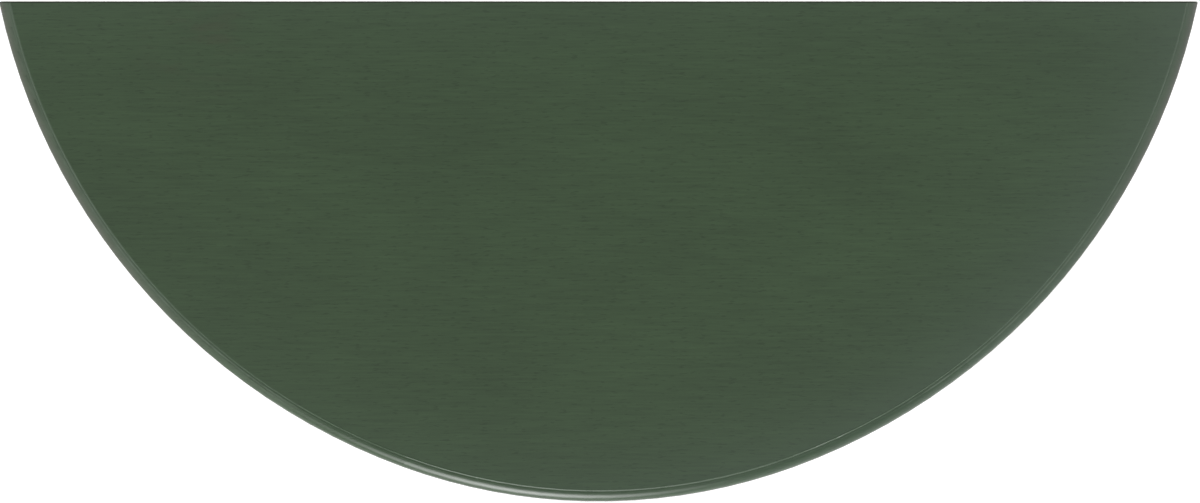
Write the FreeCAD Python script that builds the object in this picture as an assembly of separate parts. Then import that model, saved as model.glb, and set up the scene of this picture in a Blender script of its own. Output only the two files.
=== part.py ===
import FreeCAD
import Part
import math
import os

from FreeCAD import Placement, Rotation, Vector

# Demilune side table: a D-shaped moulded top on a bowed apron, a straight back rail and square tapered legs.
# Millimetres, +Z up. The straight back edge faces +Y, towards the wall, and the bow faces -Y.
# The origin is on the floor, under the middle of the top's bounding box.

# Overall size
top_width = 914.0
top_depth = 381.0
table_height = 762.0

# Top. Its bow is a three-centred curve: a nose arc that runs into a flatter arc on each side.
top_thickness = 20.0
nose_radius = 436.0
nose_half_angle = 20.0

# Moulding on the bowed edge: a small step down, then a quarter round
arris_round = 0.8
step_drop = 1.6
step_ledge = 1.2
ovolo_radius = 7.0
under_round = 2.5
back_edge_round = 1.0
back_corner_round = 1.5

# Apron, and the bead strip under it
bow_overhang = 28.0
apron_height = 87.0
apron_thickness = 20.0
bead_height = 5.0
bead_proud = 3.0

# Legs
leg_square = 38.0
foot_square = 22.0
leg_proud = 3.0
leg_corner_round = 2.0
foot_chamfer = 1.5
straight_below_bead = 10.0
front_leg_angle = 30.0
back_overhang = 12.0

# Back rail
rail_thickness = 20.0
rail_setback = 3.0

# Mortises, tenons and the bridle joints of the front legs. Cuts run a little past the faces that they open.
glue_gap = 0.1
cut_past = 1.0
tenon_thickness = 8.0
tenon_length = 22.0
tenon_shoulder = 10.0
mortise_wall = 3.0
bridle_notch = 5.0

# Centre brace, lap-dovetailed into the apron and the back rail
brace_thickness = 22.0
brace_height = 50.0
dovetail_length = 12.0
dovetail_depth = 25.0
dovetail_root = 14.0
dovetail_tip = 20.0

# Corner blocks, across the two back corners
block_thickness = 22.0
block_height = 58.0
block_rail_run = 52.0
block_apron_run = 66.0

# Wooden buttons that hold the top down
rail_buttons_per_side = 2
button_width = 24.0
button_length = 34.0
button_thickness = 18.0
button_gap = 0.5
button_standoff = 1.0
button_side_play = 0.4
button_tongue = 8.0
button_tongue_thickness = 8.0
button_screw_setback = 19.0

# Wood screws
screw_radius = 2.0
screw_head_radius = 4.0
screw_head_height = 2.6
screw_tip = 4.0
screw_point_radius = 0.5
screw_clearance = 0.1
screw_hold_top = 12.0
screw_hold_rail = 14.0
block_screw_seat = 11.0
bridle_screw_length = 27.0
bridle_screw_inset = 22.0

# Nylon glides, nailed under the feet
glide_radius = 9.0
glide_height = 5.0
glide_edge_round = 1.5
nail_radius = 1.0
nail_head_radius = 3.0
nail_head_height = 1.2
nail_head_sink = 1.0
nail_hold = 14.0
nail_tip = 2.0
nail_point_radius = 0.25

# Levels and planes that follow from the sizes above
front_y = -top_depth / 2
back_y = top_depth / 2
top_under = table_height - top_thickness
apron_bottom = top_under - apron_height
bead_bottom = apron_bottom - bead_height
taper_start = bead_bottom - straight_below_bead
leg_back_y = back_y - back_overhang
leg_front_y = leg_back_y - leg_square
rail_back_y = leg_back_y - rail_setback
rail_front_y = rail_back_y - rail_thickness
mould_reach = step_ledge + ovolo_radius
up = Vector(0, 0, 1)


def outward(angle):
    """Unit vector that leaves the bow at this angle from straight ahead, positive towards +X."""
    turn = math.radians(angle)
    return Vector(math.sin(turn), -math.cos(turn), 0)


# The side arcs are tangent to the nose arc and end at the back corners.
nose_centre = Vector(0, front_y + nose_radius, 0)
back_corner = Vector(top_width / 2, back_y, 0)
nose_end_normal = outward(nose_half_angle)
nose_end_to_corner = back_corner - (nose_centre + nose_end_normal * nose_radius)
side_radius = -nose_end_to_corner.Length ** 2 / (2 * nose_end_to_corner.dot(nose_end_normal))
side_centre = nose_centre + nose_end_normal * (nose_radius - side_radius)


def mirrored(shape):
    """The same shape on the other side of the table."""
    return shape.mirror(Vector(0, 0, 0), Vector(1, 0, 0))


def arc_at(angle):
    """Centre and radius of the arc of the top's bow that has this outward angle."""
    if abs(angle) <= nose_half_angle:
        return nose_centre, nose_radius
    return Vector(math.copysign(1, angle) * side_centre.x, side_centre.y, 0), side_radius


def bow_point(angle, inset):
    """Point at this outward angle, an inset in from the edge of the top."""
    centre, radius = arc_at(angle)
    return centre + outward(angle) * (radius - inset)


def side_x(inset, y):
    """X of the right-hand side arc, moved in by an inset, where it crosses this Y."""
    return side_centre.x + math.sqrt((side_radius - inset) ** 2 - (side_centre.y - y) ** 2)


def side_angle(inset, y):
    """Outward angle of the right-hand side arc, moved in by an inset, where it crosses this Y."""
    return math.degrees(math.acos((side_centre.y - y) / (side_radius - inset)))


rear_leg_outer_x = side_x(bow_overhang, leg_front_y) + leg_proud
rear_leg_inner_x = rear_leg_outer_x - leg_square
apron_tenon_x = side_x(bow_overhang + apron_thickness / 2, leg_front_y)
rail_tenon_length = apron_tenon_x - tenon_thickness / 2 - mortise_wall - rear_leg_inner_x

# Corner block in plan, on the right: a bar between the back rail and the apron
block_height_middle = top_under - apron_height / 2
block_on_rail = Vector(rear_leg_inner_x - block_rail_run, rail_front_y, 0)
block_apron_y = rail_front_y - block_apron_run
block_on_apron = Vector(side_x(bow_overhang + apron_thickness, block_apron_y), block_apron_y, 0)
block_along = (block_on_apron - block_on_rail).normalize()
block_across = Vector(-block_along.y, block_along.x, 0)


def closed_wire(path, place):
    """Closed wire through 2D points. A pair of points is an arc: through the first, to the second."""
    edges = []
    last = path[0]
    for step in path[1:] + [path[0]]:
        if isinstance(step[0], tuple):
            through, end = step
            edges.append(Part.Arc(place(*last), place(*through), place(*end)).toShape())
            last = end
        elif math.dist(step, last) > 1e-9:
            edges.append(Part.LineSegment(place(*last), place(*step)).toShape())
            last = step
    return Part.Wire(edges)


def quarter(centre, radius, start, end):
    """Quarter circle about a centre, between two directions at right angles, as an arc step of a path."""
    diagonal = radius * math.sqrt(0.5)
    through = (centre[0] + (start[0] + end[0]) * diagonal, centre[1] + (start[1] + end[1]) * diagonal)
    return through, (centre[0] + end[0] * radius, centre[1] + end[1] * radius)


def bow_sweep(path, half_angle):
    """Sweeps a section along the bow. The path's points are (inset from the top's edge, height)."""
    bands = []
    limits = (-half_angle, -nose_half_angle, nose_half_angle, half_angle)
    for start, end in zip(limits, limits[1:]):
        centre, radius = arc_at((start + end) / 2)

        def place(inset, z):
            return centre + outward(start) * (radius - inset) + up * z

        face = Part.Face(closed_wire(path, place))
        bands.append(face.revolve(centre, up, end - start))
    return bands[0].fuse(bands[1:]).removeSplitter()


def box_between(x0, x1, y0, y1, z0, z1):
    return Part.makeBox(x1 - x0, y1 - y0, z1 - z0, Vector(x0, y0, z0))


def placed(shape, placement):
    moved = shape.copy()
    moved.Placement = placement.multiply(moved.Placement)
    return moved


def on_bow(angle, inset):
    """Placement whose origin is on the bow. Its X runs along the curve and its +Y points inwards."""
    return Placement(bow_point(angle, inset), Rotation(up, angle))


def pointing(position, direction):
    """Placement that turns +Z to a direction."""
    return Placement(position, Rotation(up, direction))


def solids_by_x(shape):
    return sorted(shape.Solids, key=lambda solid: solid.CenterOfMass.x)


# Fasteners


def wood_screw(length):
    """Countersunk screw along +Z, with the head's flat face at the origin."""
    head = Part.makeCone(screw_head_radius, screw_radius, screw_head_height)
    shank = Part.makeCylinder(screw_radius, length - screw_tip)
    point = Part.makeCone(screw_radius, screw_point_radius, screw_tip, up * (length - screw_tip))
    return head.fuse([shank, point]).removeSplitter()


def screw_hole(length, head_room):
    """What a screw of this length takes out of the wood, with room to bring the head in."""
    clear = screw_clearance
    head = Part.makeCone(screw_head_radius + clear, screw_radius + clear, screw_head_height)
    shank = Part.makeCylinder(screw_radius + clear, length + clear)
    way_in = Part.makeCylinder(screw_head_radius + clear, head_room, up * -head_room)
    return head.fuse([shank, way_in]).removeSplitter()


button_screw_length = button_thickness + button_gap + screw_hold_top
button_bottom = top_under - button_gap - button_thickness
slot_ceiling = button_bottom + button_tongue_thickness
block_screw_length = block_screw_seat + screw_hold_rail


def apron_button_places():
    """Where the buttons meet the apron: midway between the brace, the front legs and the corner blocks."""
    inner_face = bow_overhang + apron_thickness
    brace_to_leg = front_leg_angle / 2
    leg_to_block = (front_leg_angle + side_angle(inner_face, block_apron_y)) / 2
    angles = (-leg_to_block, -brace_to_leg, brace_to_leg, leg_to_block)
    return [on_bow(angle, inner_face) for angle in angles]


def rail_button_places():
    """Where the buttons meet the back rail: evenly spaced between the brace and the corner blocks."""
    spacing = block_on_rail.x / rail_buttons_per_side
    spots = [spacing * (number + 0.5) for number in range(rail_buttons_per_side)]
    half_turn = Rotation(up, 180)
    return [Placement(Vector(x, rail_front_y, 0), half_turn) for x in [-spot for spot in spots] + spots]


def button_places():
    """Origin of each button on the inner face that it hooks into, at floor level, with +Y inwards."""
    return apron_button_places() + rail_button_places()


def button_screw_places():
    seat = Placement(Vector(0, button_screw_setback, button_bottom), Rotation())
    return [place.multiply(seat) for place in button_places()]


def top_button():
    """Block with a tongue that hooks into a slot in the rail, bored for its screw."""
    half = button_width / 2
    body = box_between(-half, half, button_standoff, button_length, button_bottom, top_under - button_gap)
    tongue = box_between(-half, half, -button_tongue, button_standoff, button_bottom, slot_ceiling)
    hole = screw_hole(button_screw_length, button_thickness)
    hole.translate(Vector(0, button_screw_setback, button_bottom))
    return body.fuse(tongue).removeSplitter().cut(hole)


def button_slot():
    """Slot in a rail's inner face that takes a button's tongue."""
    half = button_width / 2 + button_side_play
    return box_between(
        -half, half, -button_tongue - button_gap, cut_past, button_bottom - button_gap, slot_ceiling,
    )


def bridle_screw_places():
    """Screws through the inner cheek of each front leg into the apron's tongue, two to a leg."""
    places = []
    inner_face = leg_square - leg_proud
    for angle in (-front_leg_angle, front_leg_angle):
        for z in (apron_bottom + bridle_screw_inset, top_under - bridle_screw_inset):
            seat = Placement(Vector(0, inner_face, z), Rotation(up, Vector(0, -1, 0)))
            places.append(on_bow(angle, bow_overhang).multiply(seat))
    return places


def block_screw_places():
    """One screw into the back rail and one into the apron, where the middle of a corner block meets them."""
    half = block_thickness / 2
    rail_x = block_on_rail.x + half / block_across.x
    rail_seat = Vector(rail_x, rail_front_y - block_screw_seat, block_height_middle)
    inner_face = bow_overhang + apron_thickness
    apron_normal = outward(side_angle(inner_face, block_apron_y))
    along_apron = Vector(-apron_normal.y, apron_normal.x, 0)
    apron_middle_y = block_apron_y + along_apron.y * half / along_apron.dot(block_across)
    apron_angle = side_angle(inner_face, apron_middle_y)
    apron_seat = bow_point(apron_angle, inner_face + block_screw_seat) + up * block_height_middle
    return [
        pointing(rail_seat, Vector(0, 1, 0)),
        pointing(apron_seat, outward(apron_angle)),
    ]


def foot_centres():
    """Centre of each foot at floor level: front legs first, left before right."""
    from_outer_face = foot_square / 2 - leg_proud
    front = [
        on_bow(angle, bow_overhang).multVec(Vector(0, from_outer_face, 0))
        for angle in (-front_leg_angle, front_leg_angle)
    ]
    rear_x = rear_leg_outer_x - foot_square / 2
    rear_y = leg_back_y - foot_square / 2
    return front + [Vector(-rear_x, rear_y, 0), Vector(rear_x, rear_y, 0)]


# Wooden pieces


def is_back_corner(edge):
    """Whether an edge of the top is one of the two upright ones where the bow meets the straight back."""
    ends = [vertex.Point for vertex in edge.Vertexes]
    return all(math.dist((abs(end.x), end.y), (back_corner.x, back_y)) < cut_past for end in ends)


def top_panel():
    """D-shaped board with its moulded bow, eased back edge and pilot holes for the button screws."""
    left_end = Vector(-back_corner.x, back_y, 0)
    left_join = bow_point(-nose_half_angle, 0)
    right_join = bow_point(nose_half_angle, 0)
    end_angle = side_angle(0, back_y)
    middle_angle = (nose_half_angle + end_angle) / 2
    outline = Part.Wire([
        Part.Arc(left_end, bow_point(-middle_angle, 0), left_join).toShape(),
        Part.Arc(left_join, bow_point(0, 0), right_join).toShape(),
        Part.Arc(right_join, bow_point(middle_angle, 0), back_corner).toShape(),
        Part.LineSegment(back_corner, left_end).toShape(),
    ])
    board = Part.Face(outline).extrude(up * top_thickness)
    corners = [edge for edge in board.Edges if is_back_corner(edge)]
    board = board.makeFillet(back_corner_round, corners)
    board.translate(up * top_under)

    spare = top_thickness
    ovolo_top = table_height - step_drop
    ovolo_end = ovolo_top - ovolo_radius
    moulding_waste = [
        (mould_reach + arris_round, table_height),
        quarter((mould_reach + arris_round, table_height - arris_round), arris_round, (0, 1), (-1, 0)),
        (mould_reach, ovolo_top),
        (ovolo_radius, ovolo_top),
        quarter((ovolo_radius, ovolo_end), ovolo_radius, (0, 1), (-1, 0)),
        (-spare, ovolo_end),
        (-spare, table_height + spare),
        (mould_reach + arris_round, table_height + spare),
    ]
    under_waste = [
        (0, top_under + under_round),
        quarter((under_round, top_under + under_round), under_round, (-1, 0), (0, -1)),
        (under_round, top_under - spare),
        (-spare, top_under - spare),
        (-spare, top_under + under_round),
    ]
    past_the_corner = math.degrees(spare / side_radius)
    for waste in (moulding_waste, under_waste):
        board = board.cut(bow_sweep(waste, end_angle + past_the_corner))
    board = board.cut([back_edge_waste(table_height, 1), back_edge_waste(top_under, -1)])

    pilot = Part.makeCylinder(screw_radius + screw_clearance, button_screw_length + screw_clearance)
    board = board.cut([placed(pilot, place) for place in button_screw_places()])
    return board.removeSplitter()


def back_edge_waste(level, side):
    """What eases the back edge of the top, at its upper (side 1) or lower (side -1) arris."""
    size = back_edge_round
    centre = (back_y - size, level - side * size)
    path = [
        (back_y - size, level),
        quarter(centre, size, (0, side), (1, 0)),
        (back_y + size, level - side * size),
        (back_y + size, level + side * size),
        (back_y - size, level + side * size),
    ]
    face = Part.Face(closed_wire(path, lambda y, z: Vector(-top_width, y, z)))
    return face.extrude(Vector(2 * top_width, 0, 0))


def dovetail(long_extra, gap):
    """Dovetail in plan along +Y from its shoulder, at the top of the rails, grown all round by a gap."""
    root = dovetail_root / 2 + gap
    tip = dovetail_tip / 2 + gap
    flare = (tip - root) / dovetail_length
    far = dovetail_length + gap
    near_half = root - flare * long_extra
    far_half = tip + flare * gap
    outline = [(-near_half, -long_extra), (near_half, -long_extra), (far_half, far), (-far_half, far)]
    bottom = top_under - dovetail_depth - gap
    face = Part.Face(closed_wire(outline, lambda x, y: Vector(x, y, bottom)))
    return face.extrude(up * (dovetail_depth + gap))


apron_inner_radius = nose_radius - bow_overhang - apron_thickness
brace_front_y = nose_centre.y - math.sqrt(apron_inner_radius ** 2 - (brace_thickness / 2) ** 2) + glue_gap
brace_back_y = rail_front_y - glue_gap


def brace_end_places():
    """Shoulders of the centre brace: at the apron and at the back rail."""
    return [
        Placement(Vector(0, brace_front_y, 0), Rotation(up, 180)),
        Placement(Vector(0, brace_back_y, 0), Rotation()),
    ]


def centre_brace():
    half = brace_thickness / 2
    bar = box_between(-half, half, brace_front_y, brace_back_y, top_under - brace_height, top_under)
    tails = [placed(dovetail(0, 0), place) for place in brace_end_places()]
    return bar.fuse(tails).removeSplitter()


def dovetail_socket(place):
    return placed(dovetail(cut_past, glue_gap), place)


def front_leg_room():
    """Space that a front leg takes beside the apron, in the leg's own frame, wider by the glue gap."""
    half = leg_square / 2 + glue_gap
    return half, -leg_proud - apron_thickness, leg_square + apron_thickness


def bow_apron():
    """Bent apron, notched on both faces at the front legs to leave a tongue for each bridle joint."""
    inner = bow_overhang + apron_thickness
    past_the_leg = side_angle(bow_overhang, leg_front_y + leg_square / 2)
    section = [
        (bow_overhang, apron_bottom), (inner, apron_bottom), (inner, top_under), (bow_overhang, top_under),
    ]
    apron = bow_sweep(section, past_the_leg)
    behind = box_between(-top_width, top_width, leg_front_y, back_y, 0, table_height)
    apron = apron.cut(behind)

    tenon = box_between(
        apron_tenon_x - tenon_thickness / 2, apron_tenon_x + tenon_thickness / 2,
        leg_front_y, leg_front_y + tenon_length,
        apron_bottom + tenon_shoulder, top_under - tenon_shoulder,
    )
    apron = apron.fuse([tenon, mirrored(tenon)])

    half, outside, inside = front_leg_room()
    tongue_back = apron_thickness - bridle_notch
    notches = [
        box_between(-half, half, outside, bridle_notch, 0, table_height),
        box_between(-half, half, tongue_back, inside, 0, table_height),
    ]
    cutters = []
    for angle in (-front_leg_angle, front_leg_angle):
        cutters += [placed(notch, on_bow(angle, bow_overhang)) for notch in notches]
    cutters += [placed(button_slot(), place) for place in apron_button_places()]
    cutters.append(dovetail_socket(brace_end_places()[0]))
    cutters += [placed(screw_hole(bridle_screw_length, cut_past), place) for place in bridle_screw_places()]
    block_hole = placed(screw_hole(block_screw_length, cut_past), block_screw_places()[1])
    cutters += [block_hole, mirrored(block_hole)]
    return apron.cut(cutters).removeSplitter()


def back_rail():
    """Straight rail between the rear legs, tenoned into them."""
    shoulder = rear_leg_inner_x - glue_gap
    rail = box_between(-shoulder, shoulder, rail_front_y, rail_back_y, apron_bottom, top_under)
    middle_y = (rail_front_y + rail_back_y) / 2
    reach = rear_leg_inner_x + rail_tenon_length
    tenons = box_between(
        -reach, reach, middle_y - tenon_thickness / 2, middle_y + tenon_thickness / 2,
        apron_bottom + tenon_shoulder, top_under - tenon_shoulder,
    )
    cutters = [placed(button_slot(), place) for place in rail_button_places()]
    cutters.append(dovetail_socket(brace_end_places()[1]))
    block_hole = placed(screw_hole(block_screw_length, cut_past), block_screw_places()[0])
    cutters += [block_hole, mirrored(block_hole)]
    return rail.fuse(tenons).removeSplitter().cut(cutters)


def apron_beads():
    """Round-nosed strips under the apron, between the legs: left, front and right."""
    nose = bead_height / 2
    outer = bow_overhang - bead_proud + nose
    inner = bow_overhang + apron_thickness
    section = [
        (outer, apron_bottom),
        ((outer - nose, apron_bottom - nose), (outer, bead_bottom)),
        (inner, bead_bottom),
        (inner, apron_bottom),
    ]
    ring = bow_sweep(section, side_angle(bow_overhang, leg_front_y + leg_square / 2))
    half, outside, inside = front_leg_room()
    leg_room = box_between(-half, half, outside, inside, 0, table_height)
    cutters = [placed(leg_room, on_bow(angle, bow_overhang)) for angle in (-front_leg_angle, front_leg_angle)]
    cutters.append(box_between(-top_width, top_width, leg_front_y - glue_gap, back_y, 0, table_height))
    return solids_by_x(ring.cut(cutters))


def rounded_rectangle(x0, x1, y0, y1, radius, z):
    """Closed wire of a level rectangle with rounded corners."""
    path = [
        (x0 + radius, y0),
        (x1 - radius, y0),
        quarter((x1 - radius, y0 + radius), radius, (0, -1), (1, 0)),
        (x1, y1 - radius),
        quarter((x1 - radius, y1 - radius), radius, (1, 0), (0, 1)),
        (x0 + radius, y1),
        quarter((x0 + radius, y1 - radius), radius, (0, 1), (-1, 0)),
        (x0, y0 + radius),
        quarter((x0 + radius, y0 + radius), radius, (-1, 0), (0, -1)),
    ]
    return closed_wire(path, lambda x, y: Vector(x, y, z))


def leg_blank(head, foot):
    """Leg that is straight beside the apron and tapers to its foot. Each end is (x0, x1, y0, y1)."""
    eased = (foot[0] + foot_chamfer, foot[1] - foot_chamfer, foot[2] + foot_chamfer, foot[3] - foot_chamfer)
    sections = [
        rounded_rectangle(*head, leg_corner_round, top_under),
        rounded_rectangle(*head, leg_corner_round, taper_start),
        rounded_rectangle(*foot, leg_corner_round, glide_height + foot_chamfer),
        rounded_rectangle(*eased, leg_corner_round, glide_height),
    ]
    return Part.makeLoft(sections, True, True)


def nail_hole(foot_centre):
    depth = nail_hold + glide_height
    return Part.makeCylinder(nail_radius + screw_clearance, depth, foot_centre)


def front_leg():
    """Front leg in its own frame: the apron's face is at Y 0, and the bridle slot is open above."""
    outer = -leg_proud
    head = (-leg_square / 2, leg_square / 2, outer, outer + leg_square)
    foot = (-foot_square / 2, foot_square / 2, outer, outer + foot_square)
    leg = leg_blank(head, foot)
    tongue_back = apron_thickness - bridle_notch
    slot = box_between(
        -leg_square, leg_square, bridle_notch - glue_gap, tongue_back + glue_gap, apron_bottom, table_height,
    )
    holes = []
    for z in (apron_bottom + bridle_screw_inset, top_under - bridle_screw_inset):
        seat = Placement(Vector(0, leg_square - leg_proud, z), Rotation(up, Vector(0, -1, 0)))
        holes.append(placed(screw_hole(bridle_screw_length, cut_past), seat))
    return leg.cut([slot, nail_hole(Vector(0, foot_square / 2 - leg_proud, 0))] + holes)


def rear_leg():
    """Right rear leg, with a mortise for the apron in its front and one for the back rail in its side."""
    head = (rear_leg_inner_x, rear_leg_outer_x, leg_front_y, leg_back_y)
    foot = (rear_leg_outer_x - foot_square, rear_leg_outer_x, leg_back_y - foot_square, leg_back_y)
    leg = leg_blank(head, foot)
    low = apron_bottom + tenon_shoulder - glue_gap
    high = top_under - tenon_shoulder + glue_gap
    half = tenon_thickness / 2 + glue_gap
    apron_mortise = box_between(
        apron_tenon_x - half, apron_tenon_x + half,
        leg_front_y - cut_past, leg_front_y + tenon_length + glue_gap, low, high,
    )
    middle_y = (rail_front_y + rail_back_y) / 2
    rail_mortise = box_between(
        rear_leg_inner_x - cut_past, rear_leg_inner_x + rail_tenon_length + glue_gap,
        middle_y - half, middle_y + half, low, high,
    )
    return leg.cut([apron_mortise, rail_mortise, nail_hole(foot_centres()[-1])])


def corner_block():
    """Right-hand corner block: a bar from the back rail to the apron, cut to the faces it is glued to."""
    far = top_depth
    start = block_on_rail - block_along * far
    end = block_on_apron + block_along * far
    bottom = up * (block_height_middle - block_height / 2)
    thick = block_across * block_thickness
    corners = [start + bottom, end + bottom, end + thick + bottom, start + thick + bottom]
    bar = Part.Face(Part.makePolygon(corners + corners[:1])).extrude(up * block_height)
    apron_face = side_radius - bow_overhang - apron_thickness - glue_gap
    inside_apron = Part.makeCylinder(apron_face, table_height, side_centre)
    before_rail = box_between(-top_width, top_width, front_y, rail_front_y - glue_gap, 0, table_height)
    before_leg = box_between(0, rear_leg_inner_x - glue_gap, front_y, back_y, 0, table_height)
    beside_leg = box_between(0, top_width, front_y, leg_front_y - glue_gap, 0, table_height)
    block = bar.common(inside_apron).common(before_rail).common(before_leg.fuse(beside_leg))
    head_room = block_thickness + block_rail_run
    hole = screw_hole(block_screw_length, head_room)
    return block.cut([placed(hole, place) for place in block_screw_places()])


# Glides and their nails


def glide():
    """Nylon disc with a flat, round-edged sole and a countersunk hole for its nail."""
    hole = nail_radius + screw_clearance
    sink = nail_head_radius + screw_clearance
    seat = nail_head_sink + nail_head_height
    path = [
        (sink, 0),
        (glide_radius - glide_edge_round, 0),
        quarter((glide_radius - glide_edge_round, glide_edge_round), glide_edge_round, (0, -1), (1, 0)),
        (glide_radius, glide_height),
        (hole, glide_height),
        (hole, seat),
        (sink, seat),
    ]
    return Part.Face(closed_wire(path, lambda r, z: Vector(r, 0, z))).revolve(Vector(0, 0, 0), up, 360)


def nail():
    """Flat-headed nail along +Z, with its head sunk into the glide."""
    head_top = nail_head_sink + nail_head_height
    head = Part.makeCylinder(nail_head_radius, nail_head_height, up * nail_head_sink)
    shank_end = glide_height + nail_hold - nail_tip
    shank = Part.makeCylinder(nail_radius, shank_end - head_top, up * head_top)
    tip = Part.makeCone(nail_radius, nail_point_radius, nail_tip, up * shank_end)
    return head.fuse([shank, tip]).removeSplitter()


def at_points(shape, points):
    return [placed(shape, Placement(point, Rotation())) for point in points]


def table_pieces():
    """Every node of the table: its name, and its solids."""
    pieces = {
        "top_panel": [top_panel()],
        "bow_apron": [bow_apron()],
        "back_rail": [back_rail()],
        "centre_brace": [centre_brace()],
    }
    block = corner_block()
    pieces["corner_block_left"] = [mirrored(block)]
    pieces["corner_block_right"] = [block]
    for name, bead in zip(("left", "front", "right"), apron_beads()):
        pieces["apron_bead_" + name] = [bead]
    leg = front_leg()
    pieces["leg_front_left"] = [placed(leg, on_bow(-front_leg_angle, bow_overhang))]
    pieces["leg_front_right"] = [placed(leg, on_bow(front_leg_angle, bow_overhang))]
    leg = rear_leg()
    pieces["leg_rear_left"] = [mirrored(leg)]
    pieces["leg_rear_right"] = [leg]
    corners = ("front_left", "front_right", "rear_left", "rear_right")
    for corner, solid in zip(corners, at_points(glide(), foot_centres())):
        pieces["glide_" + corner] = [solid]
    pieces["glide_nails"] = at_points(nail(), foot_centres())
    pieces["top_buttons"] = [placed(top_button(), place) for place in button_places()]
    button_screw = wood_screw(button_screw_length)
    pieces["button_screws"] = [placed(button_screw, place) for place in button_screw_places()]
    bridle_screw = wood_screw(bridle_screw_length)
    pieces["bridle_screws"] = [placed(bridle_screw, place) for place in bridle_screw_places()]
    block_screw = wood_screw(block_screw_length)
    right_screws = [placed(block_screw, place) for place in block_screw_places()]
    pieces["corner_block_screws"] = right_screws + [mirrored(screw) for screw in right_screws]
    return pieces


def main():
    os.makedirs("parts", exist_ok=True)
    for name, solids in table_pieces().items():
        shape = solids[0] if len(solids) == 1 else Part.makeCompound(solids)
        shape.exportStep(os.path.join("parts", name + ".step"))
        print(name, len(shape.Solids), "solids, valid", shape.isValid())


main()
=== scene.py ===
import bmesh
import bpy
import math
import numpy

from mathutils import Matrix, Vector
from typing import NamedTuple


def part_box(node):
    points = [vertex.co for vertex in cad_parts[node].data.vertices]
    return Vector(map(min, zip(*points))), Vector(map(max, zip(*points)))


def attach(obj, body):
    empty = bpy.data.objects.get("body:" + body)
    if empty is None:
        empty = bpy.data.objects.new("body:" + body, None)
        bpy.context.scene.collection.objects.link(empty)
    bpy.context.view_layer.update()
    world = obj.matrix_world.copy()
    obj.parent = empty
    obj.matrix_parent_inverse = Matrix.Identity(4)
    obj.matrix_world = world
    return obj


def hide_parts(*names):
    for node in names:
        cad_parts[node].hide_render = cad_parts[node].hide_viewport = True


# Looks of a demilune side table: satin green paint over open-pored wood, with bare wood inside the apron.
# Metres, +Z up, the bow towards -Y.

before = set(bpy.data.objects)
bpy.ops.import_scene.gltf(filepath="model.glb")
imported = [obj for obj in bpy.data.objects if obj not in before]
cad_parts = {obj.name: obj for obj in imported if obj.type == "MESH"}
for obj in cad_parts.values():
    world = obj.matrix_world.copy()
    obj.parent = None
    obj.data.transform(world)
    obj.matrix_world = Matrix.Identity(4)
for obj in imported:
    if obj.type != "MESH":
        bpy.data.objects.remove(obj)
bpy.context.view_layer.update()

millimetre = 0.001
full_turn = 2 * math.pi

# Plan of the top: a nose arc that runs into a flatter arc on each side
top_width = 0.914
top_depth = 0.381
nose_radius = 0.436
nose_half_angle = math.radians(20)
nose_y = nose_radius - top_depth / 2

# Back edge and upper face of the top
top_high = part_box("top_panel")[1]
back_y = top_high.y
top_z = top_high.z

# Direction of the right-hand corner block in plan, from the back rail to the apron. The left one mirrors it.
block_along = (0.5484, -0.8362)

# Colours, linear
paint_dark = (0.0304, 0.0578, 0.0250, 1)
paint_light = (0.0496, 0.0938, 0.0406, 1)
paint_brown = (0.0500, 0.0610, 0.0320, 1)
# Lighter paint: rubbed paint on edges, and on the top's arris, shoulder and ledge also painted highlight and
# painted light
paint_worn = (0.121, 0.165, 0.118, 1)
# Painted sheen: paint lightened to stand for reflected light towards the top's edges
painted_sheen_colour = (0.130, 0.165, 0.150, 1)
# Painted shade for the back edge of the top
painted_back_shade = (0.018, 0.024, 0.013, 1)
# Painted grey reflection for the outer edge of the top
painted_rim_reflection = (0.128, 0.105, 0.102, 1)
wood_light = (0.56, 0.40, 0.24, 1)
wood_dark = (0.40, 0.26, 0.14, 1)
wood_pore = (0.24, 0.14, 0.07, 1)
zinc_bright = (0.60, 0.58, 0.53, 1)
zinc_yellow = (0.50, 0.46, 0.36, 1)
nylon_pale = (0.64, 0.60, 0.52, 1)
nylon_tan = (0.56, 0.51, 0.42, 1)
nylon_dirt = (0.26, 0.23, 0.19, 1)


class Grain(NamedTuple):
    """Noise whose features have this length along the wood's grain and this width across it."""

    length: float
    width: float
    detail: float
    roughness: float = 0.5


class Speckle(NamedTuple):
    """Noise that is the same in all directions."""

    scale: float
    detail: float
    roughness: float = 0.5


class Ramp(NamedTuple):
    """Smooth step from low at the start to high at the end. The end may be less than the start."""

    start: float
    end: float
    low: float = 0.0
    high: float = 1.0


class Band(NamedTuple):
    """1 from low to high, fading out over a soft width on each side."""

    low: float
    high: float
    soft: float


# Sockets of a mix node by number, because those for numbers and for colours have the same names
mix_factor = 0
first_number, second_number, mixed_number = 2, 3, 0
first_colour, second_colour, mixed_colour = 6, 7, 2


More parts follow.
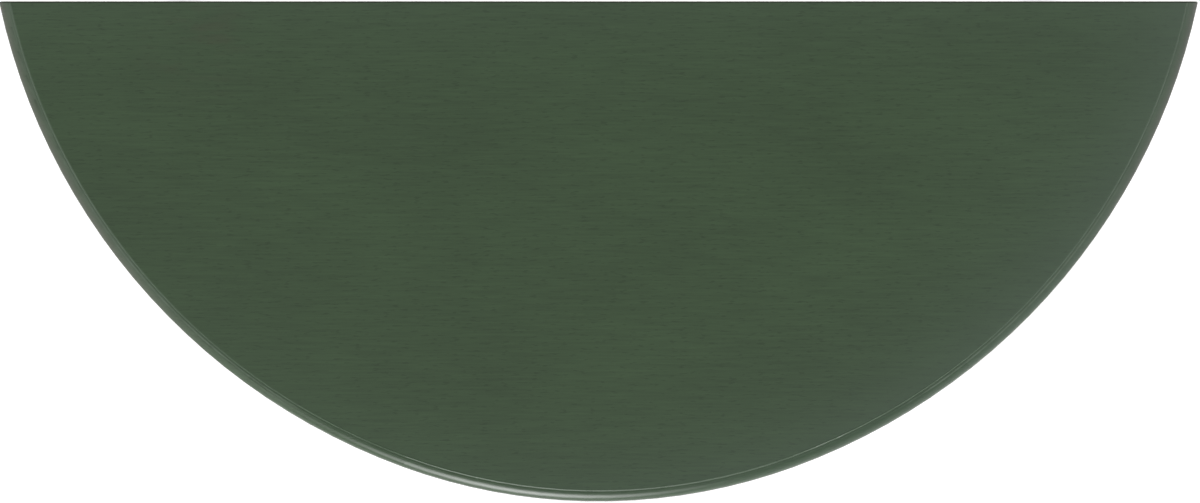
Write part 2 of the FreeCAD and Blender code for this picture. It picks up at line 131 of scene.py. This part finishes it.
class Nodes:
    """Writes the nodes of one material or world. Its methods add nodes and give the last one's output."""

    def __init__(self, owner):
        owner.use_nodes = True
        self.owner = owner
        self.tree = owner.node_tree
        self.tree.nodes.clear()

    def add(self, kind, inputs=(), output=0, **settings):
        node = self.tree.nodes.new("ShaderNode" + kind)
        for name, value in settings.items():
            setattr(node, name, value)
        for socket, value in dict(inputs).items():
            if isinstance(value, bpy.types.NodeSocket):
                self.tree.links.new(value, node.inputs[socket])
            else:
                node.inputs[socket].default_value = value
        return node.outputs[output]

    def math(self, operation, *values):
        return self.add("Math", dict(enumerate(values)), operation=operation)

    def product(self, first, *others):
        for value in others:
            first = self.math("MULTIPLY", first, value)
        return first

    def weighted(self, start, *pairs):
        """Start value plus each value times its weight."""
        for value, weight in pairs:
            start = self.math("MULTIPLY_ADD", value, weight, start)
        return start

    def combine(self, x, y, z):
        return self.add("CombineXYZ", {"X": x, "Y": y, "Z": z})

    def split(self, vector):
        """X, Y and Z of a vector."""
        return tuple(self.add("SeparateXYZ", {"Vector": vector}).node.outputs)

    def length(self, vector):
        return self.add("VectorMath", {0: vector}, output="Value", operation="LENGTH")

    def speckle(self, place, speckle):
        inputs = {"Scale": speckle.scale, "Detail": speckle.detail, "Roughness": speckle.roughness}
        return self.add("TexNoise", {"Vector": place, **inputs})

    def grain_noise(self, place, grain):
        """Noise of a grain, at a place whose first coordinate is along the wood."""
        scale = (1 / grain.length, 1 / grain.width, 1 / grain.width)
        stretched = self.add("Mapping", {"Vector": place, "Scale": scale}, vector_type="POINT")
        return self.speckle(stretched, Speckle(1.0, grain.detail, grain.roughness))

    def ramp(self, value, ramp):
        inputs = {"From Min": ramp.start, "From Max": ramp.end, "To Min": ramp.low, "To Max": ramp.high}
        return self.add("MapRange", {"Value": value, **inputs}, interpolation_type="SMOOTHSTEP")

    def band(self, value, band):
        rise = self.ramp(value, Ramp(band.low - band.soft, band.low))
        fall = self.ramp(value, Ramp(band.high, band.high + band.soft, low=1.0, high=0.0))
        return self.product(rise, fall)

    def mix(self, factor, first, second):
        """Mix of two colours."""
        inputs = {mix_factor: factor, first_colour: first, second_colour: second}
        return self.add("Mix", inputs, output=mixed_colour, data_type="RGBA")

    def mix_value(self, factor, first, second):
        """Mix of two numbers."""
        inputs = {mix_factor: factor, first_number: first, second_number: second}
        return self.add("Mix", inputs, output=mixed_number, data_type="FLOAT")

    def surface(self, colour, roughness, height, **values):
        """Ends a material with a Principled surface, and gives the material. The height is in millimetres.
        The values are the same all over the surface."""
        bump = self.add("Bump", {"Strength": 1.0, "Distance": millimetre, "Height": height})
        inputs = {"Base Color": colour, "Roughness": roughness, "Normal": bump}
        inputs.update({name.replace("_", " "): value for name, value in values.items()})
        self.end(self.add("BsdfPrincipled", inputs))
        return self.owner

    def end(self, shader, kind="OutputMaterial"):
        node = self.tree.nodes.new("ShaderNode" + kind)
        self.tree.links.new(shader, node.inputs["Surface"])


def new_material(name):
    return Nodes(bpy.data.materials.new(name))


def place_on(nodes):
    """Place of the shaded point, in metres."""
    return nodes.add("TexCoord", output="Object")


def side_arc():
    """Centre and radius of the right-hand side arc, tangent to the nose arc and ending at the back corner."""
    nose_centre = Vector((0, nose_y))
    normal = Vector((math.sin(nose_half_angle), -math.cos(nose_half_angle)))
    nose_end = nose_centre + normal * nose_radius
    to_corner = Vector((top_width / 2, top_depth / 2)) - nose_end
    radius = -to_corner.length_squared / (2 * to_corner.dot(normal))
    return nose_centre + normal * (nose_radius - radius), radius


def bow_inset(nodes, x, y):
    """Distance in from the bowed edge of the top, in plan."""
    side_centre, side_radius = side_arc()
    aside = nodes.math("ABSOLUTE", x)

    def inside(arc_x, arc_y, arc_radius):
        across = nodes.math("SUBTRACT", aside, arc_x)
        forward = nodes.math("SUBTRACT", y, arc_y)
        return nodes.math("SUBTRACT", arc_radius, nodes.length(nodes.combine(across, forward, 0.0)))

    nose_limit = nodes.product(nodes.math("SUBTRACT", nose_y, y), math.tan(nose_half_angle))
    on_side = nodes.math("GREATER_THAN", aside, nose_limit)
    nose_inset = inside(0.0, nose_y, nose_radius)
    return nodes.mix_value(on_side, nose_inset, inside(side_centre.x, side_centre.y, side_radius))


def grain_along(nodes, direction):
    """Coordinates with the grain along the first one. It follows an axis, the corner blocks or the bow."""
    place = place_on(nodes)
    x, y, z = nodes.split(place)
    if direction == "X":
        return place
    if direction == "Y":
        return nodes.combine(y, x, z)
    if direction == "Z":
        return nodes.combine(z, x, y)
    if direction == "block":
        along_x, along_y = block_along
        aside = nodes.math("ABSOLUTE", x)
        along = nodes.weighted(0.0, (aside, along_x), (y, along_y))
        across = nodes.weighted(0.0, (aside, -along_y), (y, along_x))
        return nodes.combine(along, across, nodes.math("ADD", z, nodes.math("SIGN", x)))
    angle = nodes.math("ARCTAN2", x, nodes.math("SUBTRACT", nose_y, y))
    return nodes.combine(nodes.product(angle, nose_radius), bow_inset(nodes, x, y), z)


# Finishes: each gives a colour, a roughness and a height in millimetres

# Satin paint over open-pored wood
pore_grain = Grain(0.0075, 0.0015, detail=1.0)
pore_cut = Ramp(0.41, 0.29)
pore_roughness = 0.65
pore_depth = 0.027
fibre_grain = Grain(0.0300, 0.0016, detail=3.0)
fibre_tone = 1.25
fibre_height = 0.006
cloud_grain = Grain(0.1300, 0.0600, detail=3.0)
cloud_tone = 0.62
cloud_height = 0.15
paint_tone = -0.42
haze_speckle = Speckle(38.0, detail=4.0, roughness=0.6)
haze_roughness = Ramp(0.3, 0.7, low=0.54, high=0.61)


def paint(nodes, grain, pores_shown):
    """Satin paint. pores_shown is how dark and deep the pores of the wood under it are."""
    pores = nodes.ramp(nodes.grain_noise(grain, pore_grain), pore_cut)
    fibres = nodes.grain_noise(grain, fibre_grain)
    clouds = nodes.grain_noise(grain, cloud_grain)
    tone = nodes.weighted(paint_tone, (clouds, cloud_tone), (fibres, fibre_tone), (pores, -pores_shown))
    colour = nodes.mix(tone, paint_dark, paint_light)
    roughness = nodes.ramp(nodes.speckle(grain, haze_speckle), haze_roughness)
    roughness = nodes.mix_value(pores, roughness, pore_roughness)
    pore_weight = -pore_depth * pores_shown
    height = nodes.weighted(0.0, (pores, pore_weight), (fibres, fibre_height), (clouds, cloud_height))
    return colour, roughness, height


# Planed, unpainted wood: growth rings, the same fibres, and open pores
ring_grain = Grain(0.5500, 0.0160, detail=3.0, roughness=0.55)
ring_tone = Ramp(0.35, 0.65)
bare_pore_grain = Grain(0.0090, 0.0007, detail=1.0)
bare_pore_cut = Ramp(0.42, 0.28, high=0.6)
bare_pore_depth = 0.06
bare_fibre_tone = Ramp(0.35, 0.75, high=0.5)
bare_fibre_height = 0.06
bare_roughness = Ramp(0.3, 0.7, low=0.55, high=0.72)


def wood(nodes, grain):
    """Planed, unpainted wood."""
    rings = nodes.grain_noise(grain, ring_grain)
    fibres = nodes.grain_noise(grain, fibre_grain)
    pores = nodes.ramp(nodes.grain_noise(grain, bare_pore_grain), bare_pore_cut)
    colour = nodes.mix(nodes.ramp(rings, ring_tone), wood_light, wood_dark)
    colour = nodes.mix(nodes.ramp(fibres, bare_fibre_tone), colour, wood_dark)
    colour = nodes.mix(pores, colour, wood_pore)
    roughness = nodes.ramp(fibres, bare_roughness)
    height = nodes.weighted(0.0, (pores, -bare_pore_depth), (fibres, bare_fibre_height))
    return colour, roughness, height


# Lighter paint, rubbed on edges and, on the top's moulding, also painted highlight and painted light: the
# noise of its patches, where in that noise they begin and are full, and how smooth they are
wear_and_highlight_speckle = Speckle(55.0, detail=4.0, roughness=0.65)
wear_and_highlight_cut = (0.35, 0.62)
worn_roughness = 0.48


def worn(nodes, grain, finish, mask, evenness):
    """Paint lightened as much as the mask says, in patches, and between them by the evenness. It is rubbed
    paint, and with the masks of the top's arris, shoulder and ledge also painted highlight and painted light.
    """
    colour, roughness, height = finish
    patches = nodes.ramp(nodes.speckle(grain, wear_and_highlight_speckle), Ramp(*wear_and_highlight_cut, low=evenness))
    amount = nodes.product(mask, patches)
    return nodes.mix(amount, colour, paint_worn), nodes.mix_value(amount, roughness, worn_roughness), height


def tinted(nodes, finish, mask, tint):
    """Paint that takes on a tint as much as the mask says."""
    colour, roughness, height = finish
    return nodes.mix(mask, colour, tint), roughness, height


def part_bare(nodes, grain, finish, bare):
    """Paint that ends where the bare mask begins."""
    pairs = zip(finish, wood(nodes, grain), (nodes.mix, nodes.mix_value, nodes.mix_value))
    return tuple(mix(bare, painted, unpainted) for painted, unpainted, mix in pairs)


# Wood of the frame: how dark its pores are, and how its edges are rubbed
frame_pores = 0.20
edge_rub = 0.35
edge_rub_evenness = 0.35

# Edges are found by rays that look for a near face inside the wood, and by the share of them that meet none
edge_reach = 0.002
edge_rays = 8
edge_openness = Ramp(0.96, 0.72)


def edges_of(nodes):
    """1 on the edges of a piece, sharp or rounded, and 0 on its faces."""
    settings = {"samples": edge_rays, "inside": True, "only_local": True}
    openness = nodes.add("AmbientOcclusion", {"Distance": edge_reach}, output="AO", **settings)
    return nodes.ramp(openness, edge_openness)


def painted_material(name, direction, bare_side=None):
    """Painted wood with edges rubbed a little. bare_side gives the mask of its unpainted side."""
    nodes = new_material(name)
    grain = grain_along(nodes, direction)
    rub = nodes.product(edges_of(nodes), edge_rub)
    finish = worn(nodes, grain, paint(nodes, grain, frame_pores), rub, edge_rub_evenness)
    if bare_side:
        finish = part_bare(nodes, grain, finish, bare_side(nodes))
    return nodes.surface(*finish)


def bare_material(name, direction):
    """Unpainted wood."""
    nodes = new_material(name)
    return nodes.surface(*wood(nodes, grain_along(nodes, direction)))


# The apron and the back rail are bare inside, from the middle of their thickness
apron_middle_inset = 0.038


def inside_apron(nodes):
    """Mask of the apron's inner face."""
    x, y, _ = nodes.split(place_on(nodes))
    return nodes.math("GREATER_THAN", bow_inset(nodes, x, y), apron_middle_inset)


def inside_rail(nodes):
    """Mask of the back rail's inner face."""
    low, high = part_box("back_rail")
    _, y, _ = nodes.split(place_on(nodes))
    return nodes.math("LESS_THAN", y, (low.y + high.y) / 2)


# Paint of the top: how dark its pores are, and how evenly its lighter paint lies, rubbed paint and painted
# highlights alike
top_pores = 0.45
top_evenness = 0.75

# The moulding's paint is lightened least near the middle of the bow, and most at its ends, where it cuts
# across the grain
least_worn_x = 0.03
end_grain_start = Ramp(0.30, 0.42)

# Parts of the edge moulding, by how far in from the bowed edge they are
arris_inset = 0.0082
arris_width = 0.0011
arris_band = Band(arris_inset, arris_inset + arris_width, soft=0.0005)
ledge_band = Band(0.0066, 0.0078, soft=0.0006)
shoulder_band = Band(0.0060, 0.0068, soft=0.0003)
moulding_start = Ramp(arris_inset + arris_width, arris_inset - arris_width)
outer_edge_start = Ramp(arris_inset, 0.0)

# Faces that look up, down and anywhere but back, by their normals
looks_up = Ramp(0.0, 0.3)
looks_down = Ramp(-0.5, -0.7)
looks_off_back = Ramp(0.8, 0.6)

# Moulding polished by hands: how much smoother it is, and how far to each side of the front middle
polish_amount = Ramp(arris_inset + 2 * arris_width, arris_inset + arris_width, high=0.49)
polish_end = Ramp(0.20, 0.34, low=1.0, high=0.0)

# A faint brown mark near the left back corner
mark_place = (-0.305, 0.160, top_z)
mark_reach = Ramp(0.060, 0.0)
mark_grain = Grain(0.030, 0.008, detail=3.0)
mark_cut = Ramp(0.45, 0.70)
mark_strength = 0.6

# Painted sheen, paint lightened towards the edges to stand for reflected light: how far in, how much along
# the bow by X, at the back, and over the right end
sheen_reach = 0.040
bow_sheen = Ramp(-0.45, 0.35, low=0.03, high=0.30)
back_sheen = 0.08
right_end_sheen = Ramp(0.15, 0.40, high=0.025)

# Lightening of the moulding's paint: at the front, at the left and the right end by X, and its share at the
# outer edge
moulding_front_lightening = 0.08
moulding_end_lightening = Ramp(-0.10, 0.10, low=0.78, high=0.52)
moulding_outward_lightening = Ramp(0.0, arris_inset, low=0.25)

# Light line of the arris, above these heights alone: a painted highlight at the front middle, falling off to
# rubbed paint at the sides, and rubbed paint at the ends
arris_heights = Ramp(top_z - 0.0040, top_z - 0.0020)
arris_glint_and_wear = Ramp(0.09, 0.16, low=0.62, high=0.26)
arris_end_wear = 0.60

# Painted highlight on the shoulder, drawn as lighter paint on one stretch of X to each side, and painted
# light on the ledge, lifting the shade in the step's corner
shoulder_stretch = Band(0.27, 0.36, soft=0.06)
shoulder_evenness = 0.40
ledge_lift = 0.24

# Painted grey reflection on the outer edge, at the front and at the ends, and painted shade on the back edge,
# on its face and above
rim_front_reflection = 0.04
rim_end_reflection = 0.42
back_shade_start = Ramp(back_y - 0.0014, back_y - 0.0008)
back_shade_strength = Ramp(0.0, 0.4, low=0.50, high=0.85)

# Underside: how far the paint reaches in from the bow and the back, and how ragged it ends
painted_under_bow = 0.030
painted_under_back = 0.016
ragged_speckle = Speckle(60.0, detail=3.0)
ragged_reach = 0.020


class TopNodes(Nodes):
    """Nodes of the top's paint. Most methods give a mask of one mark, from 0 to its full strength. The marks
    are rubbed paint, a stain, and painted light: highlights, a sheen, shade and a grey reflection.
    """

    def __init__(self, owner):
        super().__init__(owner)
        self.place = place_on(self)
        self.x, self.y, self.z = self.split(self.place)
        self.grain = grain_along(self, "X")
        self.inset = bow_inset(self, self.x, self.y)
        _, facing_y, self.facing_z = self.split(self.add("NewGeometry", output="Normal"))
        self.faces_up = self.ramp(self.facing_z, looks_up)
        self.off_back = self.ramp(facing_y, looks_off_back)
        self.from_front = self.math("ABSOLUTE", self.math("SUBTRACT", self.x, least_worn_x))
        self.end_grain = self.ramp(self.from_front, end_grain_start)

    def polish(self):
        return self.product(self.ramp(self.inset, polish_amount), self.ramp(self.from_front, polish_end))

    def brown_mark(self):
        offset = self.add("VectorMath", {0: self.place, 1: mark_place}, operation="SUBTRACT")
        smear = self.ramp(self.grain_noise(self.grain, mark_grain), mark_cut)
        return self.product(self.ramp(self.length(offset), mark_reach), smear, mark_strength)

    def near(self, distance):
        """1 at an edge, less and less further from it."""
        return self.math("EXPONENT", self.product(distance, -1 / sheen_reach))

    # Painted sheen: lighter paint near the bow, the back and over the right end, standing for reflected light
    def fade(self):
        near_bow = self.product(self.near(self.inset), self.ramp(self.x, bow_sheen))
        near_back = self.near(self.math("SUBTRACT", back_y, self.y))
        fade = self.weighted(near_bow, (near_back, back_sheen))
        return self.math("ADD", fade, self.ramp(self.x, right_end_sheen))

    def worn_moulding(self):
        moulding = self.product(self.ramp(self.inset, moulding_start), self.off_back)
        lightening = self.mix_value(self.end_grain, moulding_front_lightening, self.ramp(self.x, moulding_end_lightening))
        return self.product(moulding, self.ramp(self.inset, moulding_outward_lightening), lightening)

    # Painted highlight at the front middle of the arris, rubbed paint elsewhere
    def worn_arris(self):
        arris = self.product(self.band(self.inset, arris_band), self.ramp(self.z, arris_heights))
        lightening = self.mix_value(self.end_grain, self.ramp(self.from_front, arris_glint_and_wear), arris_end_wear)
        return self.product(arris, lightening)

    # Painted highlight on the shoulder
    def worn_shoulder(self):
        stretch = self.band(self.math("ABSOLUTE", self.x), shoulder_stretch)
        return self.product(self.band(self.inset, shoulder_band), stretch, self.faces_up)

    # Painted light on the ledge, lifting the shade of the step's corner
    def worn_ledge(self):
        ledge = self.product(self.band(self.inset, ledge_band), self.faces_up)
        return self.product(ledge, self.math("SUBTRACT", 1.0, self.end_grain), ledge_lift)

    # Painted grey reflection on the outer edge, slight at the front and strong at the ends
    def rim_reflection(self):
        grey = self.mix_value(self.end_grain, rim_front_reflection, rim_end_reflection)
        return self.product(self.ramp(self.inset, outer_edge_start), self.off_back, grey)

    # Painted shade on the back edge
    def back_edge_shade(self):
        return self.product(self.ramp(self.y, back_shade_start), self.ramp(self.facing_z, back_shade_strength))

    def bare_below(self):
        """Mask of the unpainted middle of the underside."""
        past_bow = self.math("SUBTRACT", self.inset, painted_under_bow)
        past_back = self.math("SUBTRACT", back_y - painted_under_back, self.y)
        ragged = self.product(self.speckle(self.place, ragged_speckle), ragged_reach)
        bare = self.math("GREATER_THAN", self.math("MINIMUM", past_bow, past_back), ragged)
        return self.product(bare, self.ramp(self.facing_z, looks_down))


def top_material():
    """Paint of the top: with painted light along its edges, a painted sheen, highlights, shade and a grey
    reflection, rubbed along its edges, polished at the front, bare in the middle below.
    """
    top = TopNodes(bpy.data.materials.new("top_paint"))
    colour, roughness, height = paint(top, top.grain, top_pores)
    finish = colour, top.math("SUBTRACT", roughness, top.polish()), height
    finish = tinted(top, finish, top.brown_mark(), paint_brown)
    # The next lines paint light and shade into the colour: a painted sheen, painted highlights on the arris
    # and shoulder, painted light on the ledge, a painted grey reflection on the outer edge and painted shade
    # on the back edge; the moulding is lightened, and the arris also rubbed
    finish = tinted(top, finish, top.fade(), painted_sheen_colour)
    finish = worn(top, top.grain, finish, top.worn_moulding(), top_evenness)
    finish = worn(top, top.grain, finish, top.worn_arris(), top_evenness)
    finish = worn(top, top.grain, finish, top.worn_shoulder(), shoulder_evenness)
    finish = worn(top, top.grain, finish, top.worn_ledge(), top_evenness)
    finish = tinted(top, finish, top.rim_reflection(), painted_rim_reflection)
    finish = tinted(top, finish, top.back_edge_shade(), painted_back_shade)
    return top.surface(*part_bare(top, top.grain, finish, top.bare_below()))


# Zinc-plated steel: yellowed patches and fine scratches
zinc_speckle = Speckle(220.0, detail=4.0, roughness=0.6)
zinc_patch_cut = Ramp(0.35, 0.65)
scratch_speckle = Speckle(1800.0, detail=2.0)
scratch_roughness = Ramp(0.3, 0.7, low=0.28, high=0.45)
scratch_height = 0.02


def steel_material():
    """Zinc-plated steel, a little dull and yellowed in patches."""
    nodes = new_material("zinc_steel")
    place = place_on(nodes)
    patches = nodes.ramp(nodes.speckle(place, zinc_speckle), zinc_patch_cut)
    scratches = nodes.speckle(place, scratch_speckle)
    colour = nodes.mix(patches, zinc_bright, zinc_yellow)
    roughness = nodes.ramp(scratches, scratch_roughness)
    height = nodes.product(scratches, scratch_height)
    return nodes.surface(colour, roughness, height, Metallic=1.0)


# Nylon of the glides: soft clouds of colour, long scuffs, and dirt on the lowest part
nylon_speckle = Speckle(90.0, detail=3.0)
nylon_glow = 0.15
nylon_glow_reach = 0.002
scuff_speckle = Speckle(400.0, detail=4.0, roughness=0.65)
scuff_stretch = 6.0
scuff_roughness = Ramp(0.3, 0.7, low=0.42, high=0.60)
scuff_height = 0.05
sole_heights = Ramp(0.0012, 0.0002)
sole_dirt = Ramp(0.35, 0.65, low=0.2, high=0.8)


def nylon_material():
    """Moulded nylon, scuffed and grey where it slides."""
    nodes = new_material("nylon")
    place = place_on(nodes)
    x, y, z = nodes.split(place)
    scuffs = nodes.speckle(nodes.combine(x, nodes.product(y, scuff_stretch), z), scuff_speckle)
    dirt = nodes.product(nodes.ramp(z, sole_heights), nodes.ramp(scuffs, sole_dirt))
    colour = nodes.mix(nodes.speckle(place, nylon_speckle), nylon_pale, nylon_tan)
    colour = nodes.mix(dirt, colour, nylon_dirt)
    roughness = nodes.ramp(scuffs, scuff_roughness)
    height = nodes.product(scuffs, scuff_height)
    glow = {"Subsurface_Weight": nylon_glow, "Subsurface_Scale": nylon_glow_reach}
    return nodes.surface(colour, roughness, height, **glow)


def dress(material, *names):
    """Gives CAD nodes their material."""
    for name in names:
        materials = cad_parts[name].data.materials
        materials.clear()
        materials.append(material)


# Screws: countersunk heads with a cross recess, and a thread. They take the places of the plain CAD screws.
screw_head_radius = 0.0040
screw_head_height = 0.0026
screw_rim = 0.0003
screw_core_radius = 0.0015
screw_thread_radius = 0.0019
screw_thread_pitch = 0.0018
screw_thread_share = 0.5
screw_point_length = 0.0040
screw_point_radius = 0.0004
recess_arms = 4
recess_reach = 0.0023
recess_half_width = 0.0006
recess_depth = 0.0018
recess_taper = 0.55
screw_sides = 24
rings_per_turn = 6
weld_distance = 0.00001


def cross_radius(angle):
    """Distance from the middle of a cross recess to its outline, at this angle."""
    arm_turn = full_turn / recess_arms
    off_arm = abs((angle + arm_turn / 2) % arm_turn - arm_turn / 2)
    if recess_reach * math.tan(off_arm) <= recess_half_width:
        return recess_reach / math.cos(off_arm)
    return recess_half_width / math.sin(off_arm)


def screw_angles():
    """Angles of a screw's sides, with the corners of the cross recess among them."""
    arm_corner = math.atan(recess_half_width / recess_reach)
    angles = [side * full_turn / screw_sides for side in range(screw_sides)]
    for arm in range(recess_arms):
        middle = arm * full_turn / recess_arms
        angles += [(middle + turn) % full_turn for turn in (-arm_corner, arm_corner)]
    return sorted(angles)


def circle(radius):
    """A radius that is the same at every angle."""
    return lambda angle: radius


def thread(depth):
    """Radius of the thread at an angle, this deep below the head."""

    def radius(angle):
        turns = depth / screw_thread_pitch - angle / full_turn
        off_crest = abs(turns % 1 - 1 / 2)
        crest = max(0.0, 1 - off_crest / (screw_thread_share / 2))
        return screw_core_radius + (screw_thread_radius - screw_core_radius) * crest

    return radius


def screw_rings(length):
    """Rings of a screw from its recess's floor to its point: (radius at an angle, depth below the head)."""
    rings = [
        (lambda angle: cross_radius(angle) * recess_taper, recess_depth),
        (cross_radius, 0.0),
        (circle(screw_head_radius - screw_rim), 0.0),
        (circle(screw_head_radius), screw_rim),
        (circle(screw_core_radius), screw_head_height + screw_rim),
    ]
    thread_start = 2 * screw_head_height
    thread_end = length - screw_point_length
    ring_step = screw_thread_pitch / rings_per_turn
    for number in range(int((thread_end - thread_start) / ring_step) + 1):
        depth = thread_start + number * ring_step
        rings.append((thread(depth), depth))
    rings.append((circle(screw_core_radius), thread_end + ring_step))
    rings.append((circle(screw_point_radius), length))
    return rings


def add_screw(mesh, length, placement):
    """Adds one closed screw to a mesh. Its head is at the placement's origin and its point along +Z."""
    angles = screw_angles()
    rings = []
    for radius, depth in screw_rings(length):
        points = [(radius(a) * math.cos(a), radius(a) * math.sin(a), depth) for a in angles]
        rings.append([mesh.verts.new(placement @ Vector(point)) for point in points])
    for ring, following in zip(rings, rings[1:]):
        for side in range(len(angles)):
            after = (side + 1) % len(angles)
            mesh.faces.new((ring[side], following[side], following[after], ring[after]))
    for ring, depth in ((rings[0], recess_depth), (rings[-1], length)):
        middle = mesh.verts.new(placement @ Vector((0, 0, depth)))
        for side in range(len(angles)):
            mesh.faces.new((ring[side], ring[(side + 1) % len(angles)], middle))


def separate_solids(node):
    """Corner points of each separate solid of a CAD node, one array each."""
    solids = bmesh.new()
    solids.from_mesh(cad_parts[node].data)
    bmesh.ops.remove_doubles(solids, verts=solids.verts, dist=weld_distance)
    found = []
    seen = set()
    for start in solids.verts:
        if start in seen:
            continue
        seen.add(start)
        reached = [start]
        for vertex in reached:
            neighbours = [edge.other_vert(vertex) for edge in vertex.link_edges]
            fresh = [neighbour for neighbour in neighbours if neighbour not in seen]
            seen.update(fresh)
            reached.extend(fresh)
        found.append(numpy.array([vertex.co for vertex in reached]))
    solids.free()
    return found


def screw_placement(points):
    """Placement and length of a CAD screw: its head's middle, with +Z along it."""
    middle = (points.min(axis=0) + points.max(axis=0)) / 2
    spreads, directions = numpy.linalg.eigh(numpy.cov((points - middle).T))
    axis = directions[:, spreads.argmax()]
    along = (points - middle) @ axis
    aside = numpy.linalg.norm(points - middle - numpy.outer(along, axis), axis=1)
    if along[aside.argmax()] > 0:
        axis, along = -axis, -along
    centre = points.mean(axis=0)
    head = centre + axis * (along.min() - (centre - middle) @ axis)
    turn = Vector((0, 0, 1)).rotation_difference(Vector(axis))
    return Matrix.Translation(head) @ turn.to_matrix().to_4x4(), float(along.max() - along.min())


def make_screws(node, material):
    """Detailed screws in the places of a CAD node's plain ones."""
    builder = bmesh.new()
    for points in separate_solids(node):
        placement, length = screw_placement(points)
        add_screw(builder, length, placement)
    bmesh.ops.recalc_face_normals(builder, faces=builder.faces)
    mesh = bpy.data.meshes.new(node + "_cross_head")
    builder.to_mesh(mesh)
    builder.free()
    mesh.materials.append(material)
    screws = bpy.data.objects.new(node + "_cross_head", mesh)
    bpy.context.scene.collection.objects.link(screws)
    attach(screws, "root")
    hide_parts(node)


# Camera: straight above the table, with a long lens, framed as the photo is
photo_width = 1200
focal_pixels = 4000
pixels_per_metre = 1311.5
edge_drop = 0.0086
camera_x = 0.0011
camera_y = 0.0002


def make_camera():
    """Camera whose scale is that of the photo at the widest part of the edge, a little below the flat."""
    camera = bpy.data.cameras.new("camera")
    camera.lens = focal_pixels / photo_width * camera.sensor_width
    camera_object = bpy.data.objects.new("camera", camera)
    height = top_z - edge_drop + focal_pixels / pixels_per_metre
    camera_object.location = (camera_x, camera_y, height)
    bpy.context.scene.collection.objects.link(camera_object)
    bpy.context.scene.camera = camera_object


# Studio: pale floor, bright walls that are dimmer at the back, and a darker ceiling
floor_size = 80.0
floor_colour = (0.92, 0.92, 0.92, 1)
floor_lift = 0.38
wall_light = Ramp(0.1, 0.8, low=0.98, high=0.77)
ceiling_start = Ramp(0.30, 0.85)
ceiling_light = 0.32

# One broad soft light in front: its direction, half its width and height, its strength, and how it fades
key_azimuth = math.radians(-9.5)
key_elevation = math.radians(34)
key_half_width = math.radians(20)
key_half_height = math.radians(45)
key_light = 12.4
key_rim = Ramp(1.0, 0.0)


def seen_rays(nodes):
    """1 for rays that look at a surface, straight, in a reflection or through glass."""
    path = nodes.add("LightPath").node.outputs
    seen = nodes.math("ADD", path["Is Camera Ray"], path["Is Glossy Ray"])
    return nodes.math("MINIMUM", nodes.math("ADD", seen, path["Is Transmission Ray"]), 1.0)


def make_floor():
    """Pale floor, lifted to white for what looks at it, with the shadow kept. From below it isn't seen."""
    half = floor_size / 2
    corners = [(-half, -half, 0), (half, -half, 0), (half, half, 0), (-half, half, 0)]
    mesh = bpy.data.meshes.new("floor")
    mesh.from_pydata(corners, [], [range(len(corners))])
    floor = bpy.data.objects.new("floor", mesh)
    bpy.context.scene.collection.objects.link(floor)
    nodes = new_material("floor")
    pale = nodes.add("BsdfDiffuse", {"Color": floor_colour})
    lift = nodes.add("Emission", {"Strength": nodes.product(seen_rays(nodes), floor_lift)})
    from_below = nodes.add("NewGeometry", output="Backfacing")
    above = nodes.add("AddShader", {0: pale, 1: lift})
    nodes.end(nodes.add("MixShader", {0: from_below, 1: above, 2: nodes.add("BsdfTransparent")}))
    mesh.materials.append(nodes.owner)


def make_world():
    """Light all round: walls, ceiling and the soft light in front. Seen straight, it is white."""
    nodes = Nodes(bpy.data.worlds.new("studio"))
    direction = nodes.add("TexCoord", output="Generated")
    _, y, z = nodes.split(direction)
    room = nodes.mix_value(nodes.ramp(z, ceiling_start), nodes.ramp(y, wall_light), ceiling_light)

    turn = Matrix.Rotation(key_azimuth, 3, "Z") @ Matrix.Rotation(-key_elevation, 3, "X")

    def along(axis):
        inputs = {0: direction, 1: turn @ Vector(axis)}
        return nodes.add("VectorMath", inputs, output="Value", operation="DOT_PRODUCT")

    aside = nodes.math("DIVIDE", along((1, 0, 0)), math.sin(key_half_width))
    above = nodes.math("DIVIDE", along((0, 0, 1)), math.sin(key_half_height))
    key = nodes.ramp(nodes.length(nodes.combine(aside, above, 0.0)), key_rim)
    key = nodes.product(key, nodes.math("GREATER_THAN", along((0, -1, 0)), 0.0))
    strength = nodes.weighted(room, (key, key_light))
    strength = nodes.mix_value(nodes.add("LightPath", output="Is Camera Ray"), strength, 1.0)
    nodes.end(nodes.add("Background", {"Strength": strength}), "OutputWorld")
    bpy.context.scene.world = nodes.owner


legs = ("leg_front_left", "leg_front_right", "leg_rear_left", "leg_rear_right")
beads = ("apron_bead_left", "apron_bead_front", "apron_bead_right")
glides = ("glide_front_left", "glide_front_right", "glide_rear_left", "glide_rear_right")
steel = steel_material()
dress(top_material(), "top_panel")
dress(painted_material("apron_paint", "bow", inside_apron), "bow_apron")
dress(painted_material("bead_paint", "bow"), *beads)
dress(painted_material("rail_paint", "X", inside_rail), "back_rail")
dress(painted_material("leg_paint", "Z"), *legs)
dress(bare_material("brace_wood", "Y"), "centre_brace", "top_buttons")
dress(bare_material("block_wood", "block"), "corner_block_left", "corner_block_right")
dress(steel, "glide_nails")
dress(nylon_material(), *glides)
for screw_node in ("button_screws", "bridle_screws", "corner_block_screws"):
    make_screws(screw_node, steel)

make_camera()
make_floor()
make_world()
bpy.context.scene.view_settings.view_transform = "Standard"
